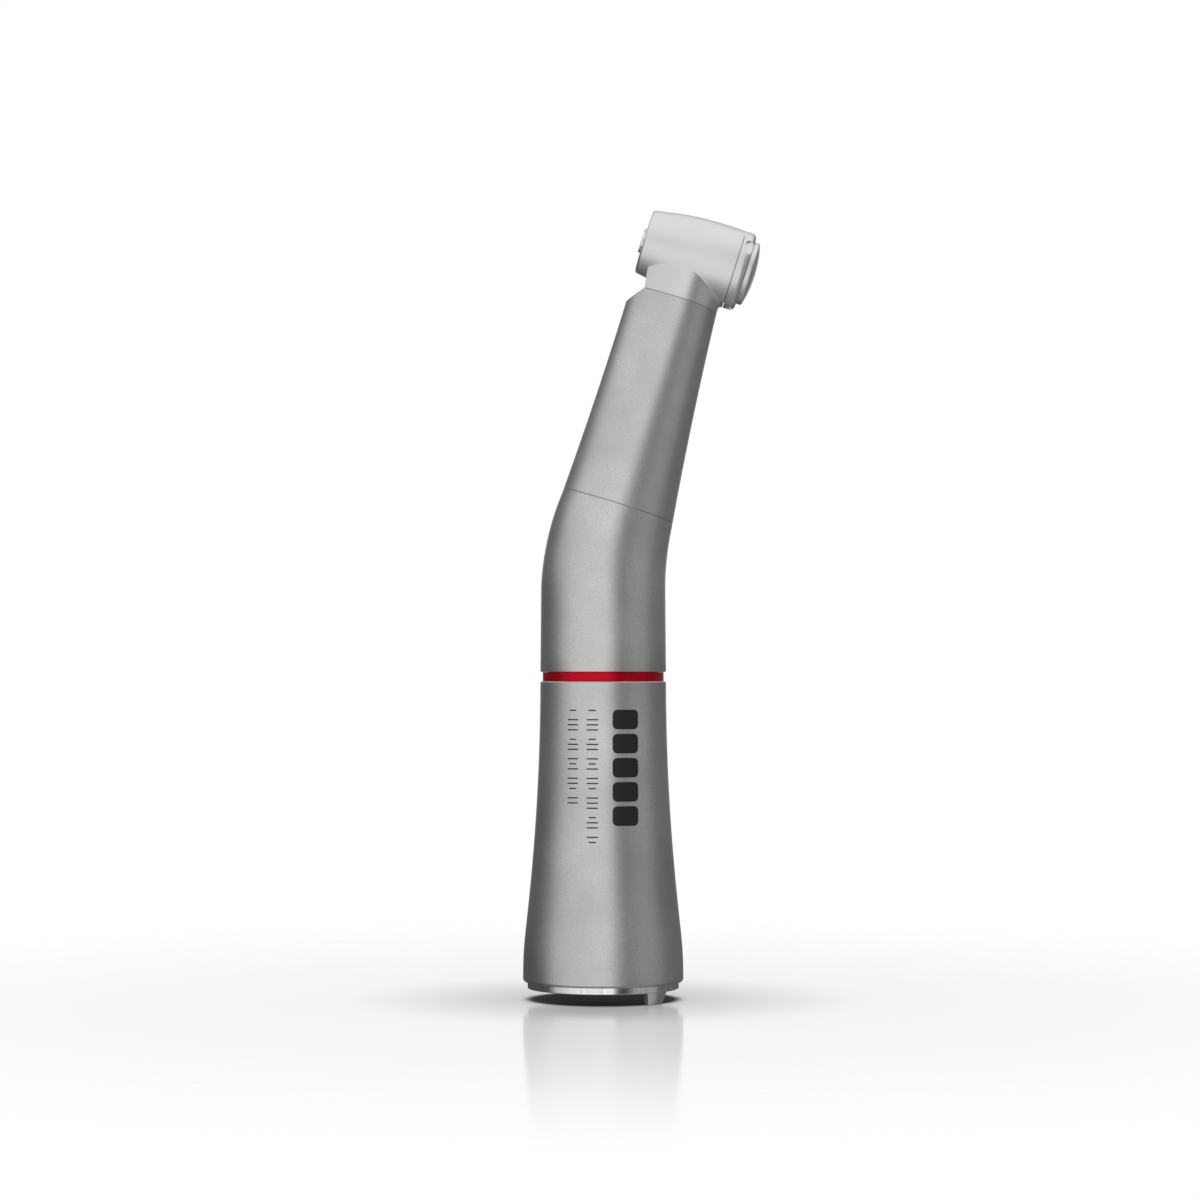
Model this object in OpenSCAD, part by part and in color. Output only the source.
// Dental contra-angle handpiece, speed-increasing 1:5, with light and spray.
// Origin: centre of the rear coupling face. +Z runs up the grip, the button side leans to +X.
// Two local frames are used: neck_frame() has +Z along the neck and head_frame() has +Z from the
// bur face towards the push button.

/* [Body line] */
// Angle between the grip axis and the neck axis, degrees
bend_angle = 17.5; // [17:0.5:18]
// Height at which the grip axis and the neck axis cross
apex_z = 54.92; // [54.8:0.02:55.2]
// Radius of the bend that joins the two axes
bend_r = 32; // [31:0.5:33]

/* [Grip] */
// Radius of the grip at its wide end
grip_r = 9.98; // [9.9:0.01:10.1]
// Radius of the grip at its slim top
grip_top_r = 7.85; // [7.8:0.01:7.9]
// Height of the top of the grip sleeve
grip_top_z = 38.15; // [38.1:0.01:38.16]
// Wall of the grip sleeve
grip_wall = 0.98; // [0.96:0.01:1]
// Radius of the bore that takes the motor's collar
socket_r = 8.0; // [7.8:0.05:8.1]
// Depth of that bore
socket_depth = 6.0; // [5.8:0.1:6]
// Radius of the bore that takes the motor's nose
nose_bore_r = 4.9; // [4.8:0.05:4.9]

/* [Head] */
// Height of the head from the bur face to the top of the cap ring
head_len = 13.3; // [13.3:0.01:13.32]
// Distance along the neck from the bend apex to the head axis
head_s = 38.05; // [38:0.01:38.1]
// Distance from the bur face to the neck axis
head_offset = 6.62; // [6.6:0.01:6.64]
// Radius of the head at the bur face
head_front_r = 4.05; // [4.02:0.01:4.1]
// Radius of the head at the cap
head_back_r = 4.98; // [4.96:0.01:5]
// Radius of a bur shank
shank_r = 0.8; // [0.79:0.005:0.8]
// Travel of the push button
button_travel = 0.4; // [0.3:0.05:0.4]

/* [Gears] */
// Teeth of the inner ring gear on the drive shaft
ring_teeth = 35; // [35:1:35]
// Teeth of the pinion that runs inside it
mid_teeth = 10; // [10:1:10]
// Teeth of the crown gear under the head
crown_teeth = 20; // [20:1:20]
// Teeth of the spindle pinion
spindle_teeth = 14; // [14:1:14]
// Pitch radius of the ring gear
ring_pitch_r = 4.0; // [3.95:0.01:4]
// Pitch radius of the spindle pinion
spindle_pitch_r = 1.95; // [1.94:0.01:1.95]

/* [Hidden] */
$fn = 64;

fit = 0.01;
steel = "#b9bbbd";
satin = "#8f9193";
bright = "#d9dadc";
rodglass = "#cfe6f2";

// ---- body line ----
arc_len_side = bend_r * tan(bend_angle / 2);
arc_z = apex_z - arc_len_side;
ratio_ring_z = [38.17, 39.30];
shoulder_z = 39.32;
spigot_r = 6.86;
spigot_bore_r = 6.45;
spigot_z = 33;
seam_low_s = 5.45;
seam_high_s = 32.12;
shell_wall = 0.8;

// ---- motor coupling ----
ring_flange_z = 0.8;
ring_flange_r = 9.4;
sleeve_bore_r = 8.75;
coupling_r = 6.95;
coupling_z = [6.05, 27];
nose_depth_z = 20;
nose_tip_r = 4.4;
coupling_floor_z = [24, 25.2];
key_angles = [-53, -32];
key_r = [8.4, 9.2];
key_drop = 1.4;
key_root = 0.7;

screw_angles = [0, 120, 240];
screw_z = 26.1;
screw_r = 0.6;

// ---- drive train positions ----
drive_r = 1.5;
drive_rear_z = 29;
drive_front_z = 38.2;
mid_rear_s = -6.6;
mid_front_s = 30.2;
bur_end_t = 0.45;
button_end_t = 9.95;
head_bore_r = 3.185;
// bearing sizes: [bore radius, outer radius, width, ball radius, balls]
drive_bearing = [1.5, 3.5, 3.0, 0.6, 7];
mid_bearing = [1.0, 2.5, 2.3, 0.45, 7];
head_bearing = [1.5875, 3.175, 2.38, 0.5, 8];

// ---- bevel stage: both pitch cones share the bend apex ----
bevel_ratio = ring_teeth / mid_teeth;
mid_cone = atan(sin(bend_angle) / (bevel_ratio - cos(bend_angle)));
ring_cone = mid_cone + bend_angle;
cone_dist = ring_pitch_r / sin(ring_cone);
bevel_face = 1.1;
mid_pitch_r = cone_dist * sin(mid_cone);
bevel_module = 2 * ring_pitch_r / ring_teeth;
ring_mesh_z = apex_z - cone_dist * cos(ring_cone);
mid_mesh_s = -cone_dist * cos(mid_cone);

// ---- crown stage ----
spindle_module = 2 * spindle_pitch_r / spindle_teeth;
crown_rho = spindle_module * crown_teeth / 2;
crown_face = 0.62;
crown_pitch_s = head_s - spindle_pitch_r;
crown_plate_s = crown_pitch_s - 0.42;
spindle_pinion_t = head_offset - crown_rho;

// ---- head ----
cap_seam_t = 11.8;
cap_thread_r = 4.3;
cap_thread_t = 10.95;
cap_floor_t = 12.5;
cap_chamber_r = 4.45;
nose_slot_w = 0.36;
nose_slot_depth = 0.2;
notch_t = 12.78;
notch_w = 1.16;
notch_len = 0.95;
notch_depth = 0.35;
button_r = 4.0;
button_flange_r = 4.38;
button_low_t = cap_floor_t + button_travel + 0.02;
button_rim_t = 13.93;
button_top_t = 14.5;
spindle_nose_t = -0.37;
spindle_end_t = 12.45;
spindle_bore_r = 1.2;
tenon_r = 4.0;
tenon_s = 29.3;
neck_bore_r = 3.3;

// ---- light exit facet on the bur side of the neck, as [n, s] points ----
facet_low = [-6.36, 30.27];
facet_high = [-4.77, 32.18];
facet_mid = (facet_low + facet_high) / 2;
facet_tilt = atan2(facet_high[0] - facet_low[0], facet_high[1] - facet_low[1]);
facet_out = 90 - facet_tilt;
window_r = 0.95;
window_depth = 0.7;

// ---- light and spray lines ----
rod_r = 0.6;
line_r = 0.4;
line_bore_r = 0.22;
rod_low = [[-6.1, 0, 6.1], [-6.1, 0, 26], [-5.95, 0, 29], [-5.65, 0, 33], [-5.65, 0, 42],
           [-5.8, 0, 46], [-5.85, 0, 49]];
rod_high = [[-4.9, 0, 0], [-4.65, 0, 4.5], [-4.6, 0, 9], [-4.65, 0, 16], [-4.75, 0, 24],
            [-4.92, 0, 28], [-4.95, 0, 30.1]];
line_low = [[-4.89, 2.83, 27.05], [-4.89, 2.83, 34], [-4.89, 2.83, 42], [-4.95, 2.85, 46],
            [-5.05, 2.8, 49]];
line_high = [[-3.9, 2.7, 0], [-3.6, 2.6, 4.5], [-3.5, 2.55, 9], [-3.4, 2.4, 16], [-2.9, 2.4, 23],
             [-2.3, 2.64, 27], [-2.3, 2.64, 29.25]];

// ---- frames ----
module neck_frame() { translate([0, 0, apex_z]) rotate([0, bend_angle, 0]) children(); }
module head_frame() { neck_frame() translate([-head_offset, 0, head_s]) rotate([0, 90, 0]) children(); }

// ---- general functions ----
function bezier(a, b, c, d, n) = [for (i = [0 : n]) let (t = i / n, u = 1 - t)
    u * u * u * a + 3 * u * u * t * b + 3 * u * t * t * c + t * t * t * d];
function arc2(c, r, a0, a1, n) = [for (i = [0 : n]) let (a = a0 + (a1 - a0) * i / n)
    c + r * [cos(a), sin(a)]];
function unit(v) = v / norm(v);
function in_neck(p) = [p[0] * cos(bend_angle) + p[2] * sin(bend_angle), p[1],
                       apex_z - p[0] * sin(bend_angle) + p[2] * cos(bend_angle)];
function flip_y(points) = [for (p = points) [p[0], -p[1], p[2]]];

// One ring of points round a centre, with its own reach to -x, to +x and to the sides.
function egg_ring(centre, x_dir, y_dir, reach, n) = [for (i = [0 : n - 1]) let (a = 360 * i / n)
    centre + x_dir * cos(a) * (cos(a) < 0 ? reach[0] : reach[1]) + y_dir * sin(a) * reach[2]];

// Closed solid through a list of rings.
module skin(rings) {
    n = len(rings[0]);
    last = len(rings) - 1;
    polyhedron(
        points = [for (ring = rings) each ring],
        faces = concat(
            [for (k = [0 : last - 1]) for (i = [0 : n - 1]) let (j = (i + 1) % n)
                [k * n + i, (k + 1) * n + i, (k + 1) * n + j, k * n + j]],
            [[for (i = [0 : n - 1]) i]],
            [[for (i = [0 : n - 1]) last * n + n - 1 - i]]),
        convexity = 6);
}

// Closed shell between an outer and an inner list of rings.
module hollow_skin(outer, inner) {
    n = len(outer[0]);
    last = len(outer) - 1;
    off = n * len(outer);
    polyhedron(
        points = [for (ring = concat(outer, inner)) each ring],
        faces = concat(
            [for (k = [0 : last - 1]) for (i = [0 : n - 1]) let (j = (i + 1) % n)
                [k * n + i, (k + 1) * n + i, (k + 1) * n + j, k * n + j]],
            [for (k = [0 : last - 1]) for (i = [0 : n - 1]) let (j = (i + 1) % n)
                [off + k * n + j, off + (k + 1) * n + j, off + (k + 1) * n + i, off + k * n + i]],
            [for (i = [0 : n - 1]) let (j = (i + 1) % n) [i, j, off + j, off + i]],
            [for (i = [0 : n - 1]) let (j = (i + 1) % n)
                [last * n + j, last * n + i, off + last * n + i, off + last * n + j]]),
        convexity = 8);
}

// Rings that follow a smooth path, for rods and tubes.
function path_tangent(p, i) = unit(p[min(i + 1, len(p) - 1)] - p[max(i - 1, 0)]);
function smooth_path(p, n) = [for (i = [0 : len(p) - 2]) for (k = [0 : (i == len(p) - 2 ? n : n - 1)])
    let (t = k / n, a = p[i], b = p[i + 1],
         ta = path_tangent(p, i) * norm(b - a), tb = path_tangent(p, i + 1) * norm(b - a))
    (2 * pow(t, 3) - 3 * pow(t, 2) + 1) * a + (pow(t, 3) - 2 * pow(t, 2) + t) * ta
    + (3 * pow(t, 2) - 2 * pow(t, 3)) * b + (pow(t, 3) - pow(t, 2)) * tb];
function path_rings(p, r, sides) = [for (i = [0 : len(p) - 1])
    let (tangent = path_tangent(p, i), x_dir = unit(cross([0, 1, 0], tangent)),
         y_dir = cross(tangent, x_dir))
    egg_ring(p[i], x_dir, y_dir, [r, r, r], sides)];

// Coil with its axis on z, from the middle of its first turn to the middle of its last.
module coil(r, wire_r, z0, z1, turns) {
    steps = 18;
    path = [for (i = [0 : turns * steps]) let (a = 360 * i / steps)
        [r * cos(a), r * sin(a), z0 + (z1 - z0) * i / (turns * steps)]];
    skin([for (i = [0 : len(path) - 1]) let (a = 360 * i / steps)
        egg_ring(path[i], [cos(a), sin(a), 0], [0, 0, 1], [wire_r, wire_r, wire_r], 8)]);
}

// ---- outer shell sections: [reach to -x, reach to +x, reach to the sides] ----
function even(a, b) = [a, b, (a + b) / 2];
function straight_reach(z) = grip_top_r - 0.01 - 0.0075 * (z - shoulder_z);
function bend_reach(q) = even(7.76 - 0.57 * q - 0.26 * q * q, 7.76 + 0.07 * q - 0.38 * q * q);
function neck_reach(s) = let (d = s - 5) [6.93 - 0.041 * d + 0.00095 * d * d,
    7.44 - 0.1275 * d + 0.00102 * d * d, 7.185 - 0.1237 * d + 0.00117 * d * d];
function less(reach, wall) = [reach[0] - wall, reach[1] - wall, reach[2] - wall];
function straight_ring(z, reach, n) = egg_ring([0, 0, z], [1, 0, 0], [0, 1, 0], reach, n);
function round_reach(r) = [r, r, r];
function arc_ring(q, wall, n) = let (a = q * bend_angle)
    egg_ring([bend_r * (1 - cos(a)), 0, arc_z + bend_r * sin(a)], [cos(a), 0, -sin(a)], [0, 1, 0],
             less(bend_reach(q), wall), n);
function neck_ring(s, wall, n) = egg_ring(in_neck([0, 0, s]), [cos(bend_angle), 0, -sin(bend_angle)],
                                          [0, 1, 0], less(neck_reach(s), wall), n);

// ---- shells ----
grip_outline = concat(
    arc2([grip_r - 0.45, ring_flange_z + 0.45], 0.45, -90, 0, 6),
    bezier([grip_r, 1.3], [grip_r, 4.2], [9.84, 5.6], [9.58, 8], 8),
    bezier([9.58, 8], [9.243, 11.24], [grip_top_r, 22.83], [grip_top_r, grip_top_z - 0.15], 20),
    [[grip_top_r - 0.1, grip_top_z - 0.02], [grip_top_r - 0.16, grip_top_z]]);
grip_inside = [for (p = grip_outline) if (p[1] > socket_depth + 0.1 && p[0] > grip_top_r - 0.05)
    [p[0] - grip_wall, p[1]]];

module grip_sleeve() {
    color(satin) rotate_extrude() polygon(concat(
        [[sleeve_bore_r, ring_flange_z]], grip_outline,
        [[grip_top_r - grip_wall, grip_top_z]],
        [for (i = [len(grip_inside) - 1 : -1 : 0]) grip_inside[i]],
        [[sleeve_bore_r, socket_depth]]));
}

module rear_ring() {
    color(bright) difference() {
        rotate_extrude() polygon([
            [socket_r + 0.4, 0], [ring_flange_r - 0.12, 0], [ring_flange_r, 0.12],
            [ring_flange_r, ring_flange_z - fit], [sleeve_bore_r - fit, ring_flange_z - fit],
            [sleeve_bore_r - fit, socket_depth], [socket_r, socket_depth], [socket_r, 0.4]]);
        key_block(key_root + fit, 0.02);
    }
}

// Arc block shared by the key and the pocket that holds it.
module key_block(top, gap) {
    a0 = key_angles[0] - (gap > 0 ? 0.3 : 0);
    a1 = key_angles[1] + (gap > 0 ? 0.3 : 0);
    rotate([0, 0, a0]) rotate_extrude(angle = a1 - a0)
        polygon([[key_r[0] - gap, -key_drop], [key_r[1] + gap, -key_drop],
                 [key_r[1] + gap, top], [key_r[0] - gap, top]]);
}

module locating_key() {
    color(bright) difference() {
        key_block(key_root, 0);
        // the leading side slopes so that the key slides into the motor's slot
        rotate([0, 0, key_angles[1]]) rotate([-36, 0, 0])
            translate([7, 0, -4]) cube([4, 3, 4.001]);
    }
}

module ratio_ring() {
    r = grip_top_r - 0.3;
    color("#b3001e") rotate_extrude() polygon([
        [spigot_r + fit, ratio_ring_z[0]], [r - 0.08, ratio_ring_z[0]], [r, ratio_ring_z[0] + 0.08],
        [r, ratio_ring_z[1] - 0.08], [r - 0.08, ratio_ring_z[1]], [spigot_r + fit, ratio_ring_z[1]]]);
}

module bend_sleeve() {
    n = 64;
    top = seam_low_s - 0.03;
    arcs = [for (i = [0 : 8]) i / 8];
    spigot_wall = shell_wall + 0.05;
    inner_wall = 1.4;
    color(satin) hollow_skin(
        concat(
            [straight_ring(spigot_z, round_reach(spigot_r), n),
             straight_ring(shoulder_z, round_reach(spigot_r), n),
             straight_ring(shoulder_z, round_reach(grip_top_r - 0.14), n),
             straight_ring(shoulder_z + 0.14, round_reach(straight_reach(shoulder_z)), n)],
            [arc_ring(0, 0, n)], [for (i = [1 : 8]) arc_ring(arcs[i], 0, n)],
            [neck_ring(top - 0.05, 0, n), neck_ring(top, 0.06, n), neck_ring(top, spigot_wall, n),
             neck_ring(top + 2, spigot_wall, n)]),
        concat(
            [straight_ring(spigot_z, round_reach(spigot_bore_r), n),
             straight_ring(shoulder_z, round_reach(spigot_bore_r), n),
             straight_ring(shoulder_z + 0.6, round_reach(spigot_bore_r), n),
             straight_ring(shoulder_z + 1.2, round_reach(straight_reach(shoulder_z) - 0.9), n)],
            [arc_ring(0, 0.9, n)], [for (i = [1 : 8]) arc_ring(arcs[i], 0.9 + 0.5 * arcs[i], n)],
            [neck_ring(top - 0.05, inner_wall, n), neck_ring(top, inner_wall, n),
             neck_ring(top + 0.01, inner_wall, n), neck_ring(top + 2, inner_wall, n)]));
}

module facet_cut() {
    translate([facet_mid[0], 0, facet_mid[1]]) rotate([0, -facet_out, 0])
        translate([-4, -8, 0]) cube([8, 16, 6]);
}

module neck_sleeve() {
    n = 64;
    low = seam_low_s;
    color(satin) difference() {
        skin(concat([neck_ring(low, 0.06, n)], [for (i = [0 : 14]) neck_ring(low + 0.05
            + (seam_high_s - 0.1 - low) * i / 14, 0, n)], [neck_ring(seam_high_s, 0.05, n)]));
        skin([for (i = [0 : 12]) neck_ring(low - 0.5 + (tenon_s - low + 0.4) * i / 12, shell_wall, n)]);
        neck_frame() {
            translate([0, 0, tenon_s - 1]) cylinder(r = tenon_r + fit, h = 6);
            facet_cut();
            translate([facet_mid[0], 0, facet_mid[1]]) rotate([0, -facet_out, 0])
                translate([0, 0, -window_depth]) cylinder(r = window_r, h = 3);
            translate([rod_high[6][0], 0, tenon_s - 1]) cylinder(r = rod_r + 0.05, h = 2.1);
        }
    }
}

module light_window() {
    color(rodglass) neck_frame() translate([facet_mid[0], 0, facet_mid[1]]) rotate([0, -facet_out, 0])
        rotate_extrude() polygon(concat([[0, -window_depth + fit], [window_r - fit, -window_depth + fit]],
            [[window_r - fit, -0.02], [window_r - 0.1, 0.02], [window_r / 2, 0.06], [0, 0.08]]));
}

head_outline = concat(
    arc2([head_front_r - 0.3, 0.34], 0.34, -90, -8, 6),
    bezier([head_front_r + 0.05, 0.45], [4.28, 1.7], [4.72, 3.4], [4.92, 6], 10),
    bezier([4.93, 6.13], [5.03, 7.6], [5.05, 9.6], [head_back_r, cap_seam_t - 0.08], 6),
    [[head_back_r - 0.06, cap_seam_t]]);

module head_housing() {
    n = 64;
    color(steel) difference() {
        union() {
            head_frame() rotate_extrude() polygon(concat([[0, 0]], head_outline, [[0, cap_seam_t]]));
            difference() {
                skin([neck_ring(seam_high_s + 0.02, 0.05, n), neck_ring(seam_high_s + 0.1, 0, n),
                      neck_ring(head_s - 3, -0.02, n), neck_ring(head_s - 0.5, -0.04, n)]);
                neck_frame() translate([facet_high[0], 0, facet_high[1]]) rotate([0, -8.8, 0])
                    translate([-8, -8, -1]) cube([8, 16, 12]);
            }
            neck_frame() translate([0, 0, tenon_s]) cylinder(r = tenon_r, h = 6);
        }
        head_frame() {
            translate([0, 0, bur_end_t - 0.05]) cylinder(r = head_bore_r, h = cap_seam_t);
            translate([0, 0, -1]) cylinder(r = 1.75, h = 3);
            translate([0, 0, cap_thread_t - 0.05]) cylinder(r = cap_thread_r + 0.02, h = 2);
            for (a = [30, 150, 270]) rotate([0, 0, a]) translate([3.62, 0, -1])
                cylinder(r = 0.26 + fit, h = 3.2);
        }
        neck_frame() {
            translate([0, 0, tenon_s - 1]) cylinder(r = 3.02, h = mid_front_s + 3.1 - tenon_s + 1);
            translate([0, 0, mid_front_s + 2]) cylinder(r = neck_bore_r, h = head_s - mid_front_s - 2);
            for (side = [-1, 1]) translate([-2.3, side * 2.64, tenon_s - 1]) cylinder(r = 0.3, h = 3);
        }
    }
}

module head_cap() {
    r = head_back_r;
    color(steel) head_frame() difference() {
        rotate_extrude() polygon(concat(
            [[head_bore_r, cap_thread_t], [cap_thread_r, cap_thread_t], [cap_thread_r, cap_seam_t + 0.02],
             [r - 0.06, cap_seam_t + 0.02], [r, cap_seam_t + 0.1]],
            arc2([r - 0.7, head_len - 0.7], 0.7, 0, 90, 8),
            [[4.06, head_len], [4.06, 13.1], [cap_chamber_r, 13.1], [cap_chamber_r, cap_floor_t],
             [2.7, cap_floor_t], [2.7, 12.36], [head_bore_r, 12.36]]));
        for (a = [116 : 120 : 356]) rotate([0, 0, a]) translate([r, 0, notch_t]) wrench_notch();
    }
}

// Round-ended pocket for the cap's wrench, cut inwards from x = 0.
module wrench_notch() {
    translate([-notch_depth, -notch_len / 2, -notch_w / 2]) cube([2, notch_len, notch_w]);
    for (side = [-1, 1]) translate([-notch_depth, side * notch_len / 2, 0]) rotate([0, 90, 0])
        cylinder(r = notch_w / 2, h = 2);
}

button_outline = concat(
    [[button_r, 13.08], [button_r, button_rim_t - 0.14], [button_r - 0.05, button_rim_t - 0.04],
     [button_r - 0.16, button_rim_t + 0.03]],
    bezier([3.7, 14.02], [2.7, 14.32], [1.4, button_top_t], [0, button_top_t], 8));

module push_button() {
    color(steel) head_frame() rotate_extrude() polygon(concat(
        [[0, button_low_t], [0.8, button_low_t], [0.8, 13.45], [2.75, 13.45], [2.75, button_low_t],
         [3.1, button_low_t], [3.1, 13.52], [3.86, 13.52], [3.86, button_low_t],
         [button_flange_r, button_low_t], [button_flange_r, 13.06], [button_r, 13.06]],
        button_outline));
}

module button_spring() {
    color(bright) head_frame() coil(3.48, 0.12, cap_floor_t + 0.13, 13.38, 3);
}

// ---- coupling ----
module coupling_body() {
    color(steel) difference() {
        rotate_extrude() polygon([
            [nose_bore_r, coupling_z[0]], [8.5, coupling_z[0]], [8.5, 8], [7.4, 9.2],
            [coupling_r, 9.6], [coupling_r, coupling_z[1]], [4.5, coupling_z[1]],
            [4.5, coupling_floor_z[1]], [1.9, coupling_floor_z[1]], [1.9, coupling_floor_z[0]],
            [nose_tip_r, coupling_floor_z[0]], [nose_tip_r, 21.3], [4.95, 21.3], [4.95, 20.7],
            [nose_tip_r, 20.7], [nose_tip_r, nose_depth_z], [nose_bore_r, nose_depth_z]]);
        translate([rod_low[0][0], 0, 5]) cylinder(r = rod_r + 0.03, h = 24);
        for (a = screw_angles) rotate([0, 0, a]) translate([4.6, 0, screw_z]) rotate([0, 90, 0])
            cylinder(r = screw_r + fit, h = 4);
        for (side = [-1, 1]) {
            translate([line_low[0][0], side * line_low[0][1], 14]) cylinder(r = 0.35, h = 14);
            rotate([0, 0, side * 150]) translate([4, 0, 16 + side * 1.5]) rotate([0, 90, 0])
                cylinder(r = 0.35, h = 1.6);
        }
    }
}

module retaining_clip() {
    color(bright) rotate([0, 0, 200]) rotate_extrude(angle = 320) translate([4.69, 21])
        circle(r = 0.24, $fn = 20);
}

module drive_housing() {
    color(satin) difference() {
        rotate_extrude() polygon([
            [2.2, 25.25], [4.48, 25.25], [4.48, 27.03], [4.85, 27.03], [4.85, 34], [6.4, 34],
            [6.4, 35.5], [4.85, 35.5], [4.85, 42], [3.51, 42], [3.51, 37.95], [2.7, 37.95],
            [2.7, 32.25], [3.51, 32.25], [3.51, 28.75], [2.2, 28.75]]);
        translate([-5.65, 0, 33]) cylinder(r = rod_r + 0.2, h = 4);
        for (side = [-1, 1]) translate([line_low[0][0], side * line_low[0][1], 33])
            cylinder(r = line_r + 0.12, h = 4);
    }
}

module mid_housing() {
    low = mid_rear_s - 0.5;
    high = mid_front_s + 3;
    color(satin) neck_frame() difference() {
        union() {
            translate([0, 0, low]) cylinder(r = 3.0, h = high - low);
            translate([0.21, 0, 5.6]) cylinder(r = 5.5, h = 1.4);
        }
        translate([0, 0, low - 1]) cylinder(r = 1.7, h = high - low + 2);
        translate([0, 0, mid_rear_s - 0.05]) cylinder(r = 2.51, h = 2.4);
        translate([0, 0, mid_rear_s + 2.3]) cylinder(r = 2.1, h = mid_front_s - mid_rear_s - 2.3);
        translate([0, 0, mid_front_s - 0.05]) cylinder(r = 2.51, h = 6);
        translate([-4.65, 0, 5]) cylinder(r = rod_r + 0.15, h = 3);
        for (side = [-1, 1]) translate([line_high[1][0], side * line_high[1][1], 5])
            cylinder(r = line_r + 0.15, h = 3);
    }
}

module housing_screws() {
    color(bright) for (a = screw_angles) rotate([0, 0, a]) translate([5.05, 0, screw_z])
        rotate([0, 90, 0]) difference() {
            cylinder(r = screw_r, h = 1.8);
            translate([0, 0, 1.2]) cylinder(r = 0.3, h = 1, $fn = 6);
        }
}

// ---- light and spray ----
rod_path = smooth_path(concat(rod_low, [for (p = rod_high) in_neck(p)]), 3);
line_path = smooth_path(concat(line_low, [for (p = line_high) in_neck(p)]), 3);

module light_rod() {
    color(rodglass) skin(path_rings(rod_path, rod_r, 12));
}

module spray_line(path) {
    hollow_skin(path_rings(path, line_r, 10), path_rings(path, line_bore_r, 10));
}

module water_tube() { color("#8aa3b5") spray_line(line_path); }

module air_tube() { color(steel) spray_line(flip_y(line_path)); }

module spray_nozzles() {
    color(bright) head_frame() for (a = [30, 150, 270]) rotate([0, 0, a]) translate([3.62, 0, -0.04])
        difference() {
            cylinder(r = 0.26, h = 2);
            translate([0, 0, -1]) cylinder(r = 0.13, h = 4);
        }
}

// ---- bearings, each standing on z = 0 ----
function ball_orbit(b) = (b[0] + b[1]) / 2;

module race_outer(b) {
    color(bright) difference() {
        cylinder(r = b[1], h = b[2]);
        translate([0, 0, -1]) cylinder(r = ball_orbit(b) + b[3] * 0.55, h = b[2] + 2);
        translate([0, 0, b[2] / 2]) rotate_extrude() translate([ball_orbit(b), 0])
            circle(r = b[3] + 0.04, $fn = 24);
    }
}

module race_inner(b) {
    color(bright) difference() {
        cylinder(r = ball_orbit(b) - b[3] * 0.55, h = b[2]);
        translate([0, 0, -1]) cylinder(r = b[0], h = b[2] + 2);
        translate([0, 0, b[2] / 2]) rotate_extrude() translate([ball_orbit(b), 0])
            circle(r = b[3] + 0.04, $fn = 24);
    }
}

module ball_set(b) {
    color("#9c7a3c") translate([0, 0, b[2] / 2]) {
        difference() {
            translate([0, 0, -b[3] * 0.6]) cylinder(r = ball_orbit(b) + b[3] * 0.3, h = b[3] * 1.2);
            translate([0, 0, -2]) cylinder(r = ball_orbit(b) - b[3] * 0.3, h = 4);
        }
        for (i = [0 : b[4] - 1]) rotate([0, 0, 360 * i / b[4]]) translate([ball_orbit(b), 0, 0])
            sphere(r = b[3], $fn = 24);
    }
}

module at_drive(z) { translate([0, 0, z]) children(); }
module at_mid(s) { neck_frame() translate([0, 0, s]) children(); }
module at_head(t) { head_frame() translate([0, 0, t]) children(); }

// ---- gears ----
// Outline with one tooth centred on +x: straight flanks between root, pitch and tip widths.
function tooth_outline(teeth, root_r, pitch_r, tip_r, fill) = [for (i = [0 : teeth - 1])
    let (a = 360 * i / teeth, p = 360 / teeth) each [
        for (k = [[root_r, -fill[0]], [pitch_r, -fill[1]], [tip_r, -fill[2]],
                  [tip_r, fill[2]], [pitch_r, fill[1]], [root_r, fill[0]]])
            k[0] * [cos(a + k[1] * p / 2), sin(a + k[1] * p / 2)]]];

module ring_gear() {
    grow = (cone_dist + bevel_face / 2) / cone_dist;
    shrink = (cone_dist - bevel_face / 2) / (cone_dist + bevel_face / 2);
    heel_z = apex_z - (apex_z - ring_mesh_z) * grow;
    m = bevel_module * grow;
    r = ring_pitch_r * grow;
    toe_z = apex_z - (apex_z - heel_z) * shrink;
    floor_z = 44.3;
    hole_r = r + 1.05 * m;
    color("#a79a7a") difference() {
        rotate_extrude() polygon([
            [drive_r + fit, 42.3], [2.3, 42.3], [2.3, 43.3], [4.6, 43.3], [4.95, 43.7],
            [4.95, heel_z + 0.5], [4.72, toe_z], [2.2, toe_z], [2.2, heel_z],
            [hole_r - 0.1, heel_z], [hole_r - 0.1, floor_z], [drive_r + fit, floor_z]]);
        translate([0, 0, heel_z - 0.001]) rotate([0, 0, 180]) linear_extrude(
            height = toe_z - heel_z + 0.01, scale = shrink)
            polygon(tooth_outline(ring_teeth, r - 0.75 * m, r, r + 1.05 * m, [0.72, 0.58, 0.3]));
    }
}

module mid_pinion() {
    grow = (cone_dist + bevel_face / 2) / cone_dist;
    shrink = (cone_dist - bevel_face / 2) / (cone_dist + bevel_face / 2);
    heel_s = mid_mesh_s * grow;
    m = bevel_module * grow;
    r = mid_pitch_r * grow;
    color("#a79a7a") neck_frame() difference() {
        translate([0, 0, heel_s]) rotate([0, 0, 180]) linear_extrude(
            height = -heel_s * (1 - shrink), scale = shrink)
            polygon(tooth_outline(mid_teeth, r - 1.0 * m, r, r + 0.75 * m, [0.6, 0.4, 0.16]));
        translate([0, 0, heel_s - 1]) cylinder(r = 0.6 + fit, h = 4);
    }
}

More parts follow.
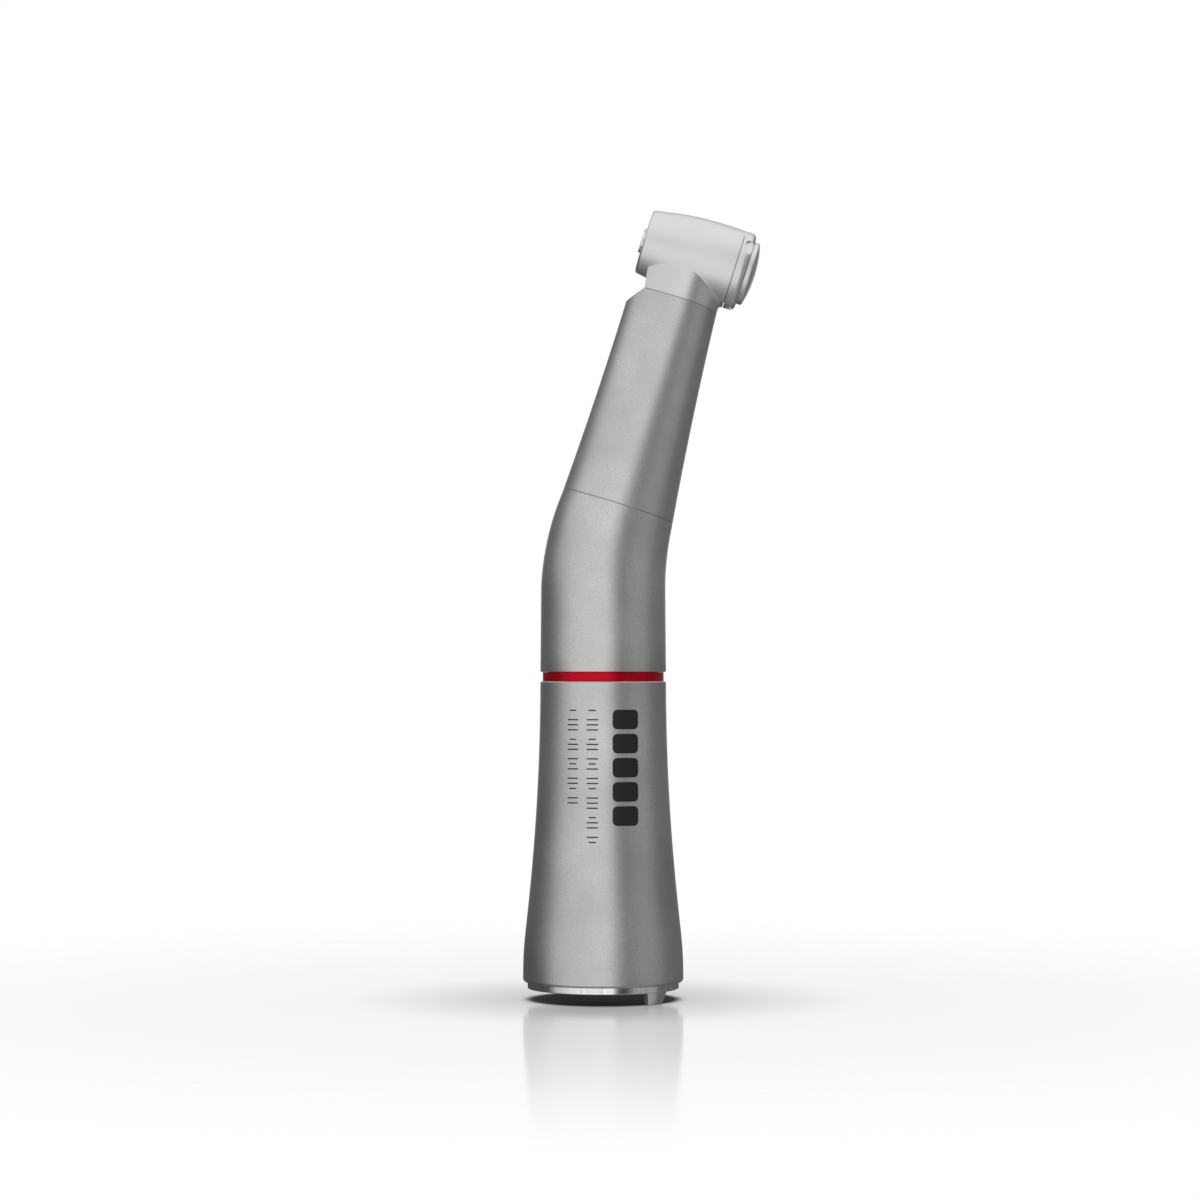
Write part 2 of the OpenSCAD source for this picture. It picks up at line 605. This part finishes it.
module crown_gear() {
    tip_s = crown_pitch_s + 0.2;
    color("#a79a7a") neck_frame() {
        difference() {
            union() {
                translate([0, 0, crown_plate_s - 0.9])
                    cylinder(r = crown_rho + crown_face / 2 + 0.02, h = 0.9);
                translate([0, 0, crown_plate_s - 2.0]) cylinder(r = 1.7, h = 1.5);
                for (i = [0 : crown_teeth - 1]) rotate([0, 0, 360 * i / crown_teeth])
                    translate([crown_rho - crown_face / 2, 0, crown_plate_s - 0.05])
                    rotate([90, 0, 90]) linear_extrude(height = crown_face)
                        polygon([[-0.3, 0], [-0.17, 0.47], [-0.07, tip_s - crown_plate_s + 0.05],
                                 [0.07, tip_s - crown_plate_s + 0.05], [0.17, 0.47], [0.3, 0]]);
            }
            translate([0, 0, crown_plate_s - 3]) cylinder(r = 0.9 + fit, h = 4);
        }
    }
}

module spindle_pinion() {
    m = spindle_module;
    r = spindle_pitch_r;
    width = 0.7;
    color("#a79a7a") head_frame() translate([0, 0, spindle_pinion_t - width / 2]) difference() {
        rotate([0, 0, 180 / spindle_teeth]) linear_extrude(height = width)
            polygon(tooth_outline(spindle_teeth, r - 1.0 * m, r, r + 0.75 * m, [0.62, 0.44, 0.2]));
        translate([0, 0, -1]) cylinder(r = 1.5 + fit, h = 3);
    }
}

// ---- shafts ----
module drive_shaft() {
    color(steel) rotate_extrude() polygon([
        [0, 22.4], [1.3, 22.4], [drive_r - fit, 22.6], [drive_r - fit, 44.2], [1.3, 44.35], [0, 44.35]]);
}

module drive_dog() {
    color(steel) difference() {
        rotate_extrude() polygon([
            [0, 19.9], [1.7, 19.9], [2.2, 20.4], [2.2, 23.7], [drive_r, 23.7], [drive_r, 22.38],
            [0, 22.38]]);
        translate([-3, -0.65, 19]) cube([6, 1.3, 2.8]);
    }
}

module drive_spacer() {
    color(satin) difference() {
        translate([0, 0, 32.03]) cylinder(r = 2.0, h = 6.14);
        translate([0, 0, 31]) cylinder(r = drive_r, h = 8);
    }
}

module mid_shaft() {
    color(steel) neck_frame() rotate_extrude() polygon([
        [0, mid_mesh_s - 0.6], [0.6, mid_mesh_s - 0.6], [0.6, mid_mesh_s + 0.9],
        [0.99, mid_mesh_s + 1.4], [0.99, mid_rear_s + 2.31], [1.3, mid_rear_s + 2.31],
        [1.3, mid_front_s - 0.01], [0.99, mid_front_s - 0.01], [0.99, mid_front_s + 2.4],
        [0.9, mid_front_s + 2.6], [0.9, crown_plate_s], [0, crown_plate_s]]);
}

module spindle() {
    r = head_bearing[0] - fit;
    color(steel) head_frame() difference() {
        rotate_extrude() polygon([
            [0.95, spindle_nose_t], [1.43, spindle_nose_t], [1.53, spindle_nose_t + 0.1],
            [1.53, bur_end_t], [r, bur_end_t], [r, bur_end_t + 2.39], [1.49, bur_end_t + 2.39],
            [1.49, button_end_t - 0.01], [r, button_end_t - 0.01], [r, spindle_end_t],
            [spindle_bore_r, spindle_end_t], [spindle_bore_r, 10.2], [0.75, 10.2], [0.75, 9.7],
            [spindle_bore_r, 9.7], [spindle_bore_r, -0.02], [0.95, -0.25]]);
        for (a = [0 : 45 : 135]) rotate([0, 0, a]) translate([-2, -nose_slot_w / 2, spindle_nose_t - 1])
            cube([4, nose_slot_w, 1 + nose_slot_depth]);
    }
}

module chuck_collet() {
    color(bright) head_frame() difference() {
        rotate_extrude() polygon([
            [shank_r, 0.25], [1.1, 0.25], [1.16, 0.5], [1.16, 9.35], [0.6, 9.35], [0.6, 8.8],
            [shank_r, 8.8]]);
        for (a = [0, 120, 240]) rotate([0, 0, a]) translate([0, -0.07, -0.5]) cube([2, 0.14, 4.5]);
    }
}

module chuck_drawbar() {
    color(steel) head_frame() rotate_extrude() polygon([
        [0, 8.85], [0.59, 8.85], [0.59, 9.38], [0.7, 9.38], [0.7, 12.1], [1.12, 12.1],
        [1.12, 12.6], [1.02, 12.7], [0, 12.7]]);
}

module chuck_spring() {
    color(bright) head_frame() coil(0.95, 0.1, 10.31, 11.98, 5);
}

grip_sleeve();
rear_ring();
locating_key();
ratio_ring();
bend_sleeve();
neck_sleeve();
light_window();
head_housing();
head_cap();
push_button();
button_spring();
coupling_body();
retaining_clip();
drive_housing();
mid_housing();
light_rod();
water_tube();
air_tube();
spray_nozzles();
housing_screws();
drive_shaft();
drive_dog();
ring_gear();
drive_spacer();
mid_shaft();
mid_pinion();
crown_gear();
spindle();
spindle_pinion();
chuck_spring();
chuck_collet();
chuck_drawbar();
at_drive(drive_rear_z) race_outer(drive_bearing);  // drive_rear_race_outer
at_drive(drive_rear_z) race_inner(drive_bearing);  // drive_rear_race_inner
at_drive(drive_rear_z) ball_set(drive_bearing);  // drive_rear_balls
at_drive(drive_front_z) race_outer(drive_bearing);  // drive_front_race_outer
at_drive(drive_front_z) race_inner(drive_bearing);  // drive_front_race_inner
at_drive(drive_front_z) ball_set(drive_bearing);  // drive_front_balls
at_mid(mid_rear_s) race_outer(mid_bearing);  // mid_rear_race_outer
at_mid(mid_rear_s) race_inner(mid_bearing);  // mid_rear_race_inner
at_mid(mid_rear_s) ball_set(mid_bearing);  // mid_rear_balls
at_mid(mid_front_s) race_outer(mid_bearing);  // mid_front_race_outer
at_mid(mid_front_s) race_inner(mid_bearing);  // mid_front_race_inner
at_mid(mid_front_s) ball_set(mid_bearing);  // mid_front_balls
at_head(bur_end_t) race_outer(head_bearing);  // bur_end_race_outer
at_head(bur_end_t) race_inner(head_bearing);  // bur_end_race_inner
at_head(bur_end_t) ball_set(head_bearing);  // bur_end_balls
at_head(button_end_t) race_outer(head_bearing);  // button_end_race_outer
at_head(button_end_t) race_inner(head_bearing);  // button_end_race_inner
at_head(button_end_t) ball_set(head_bearing);  // button_end_balls
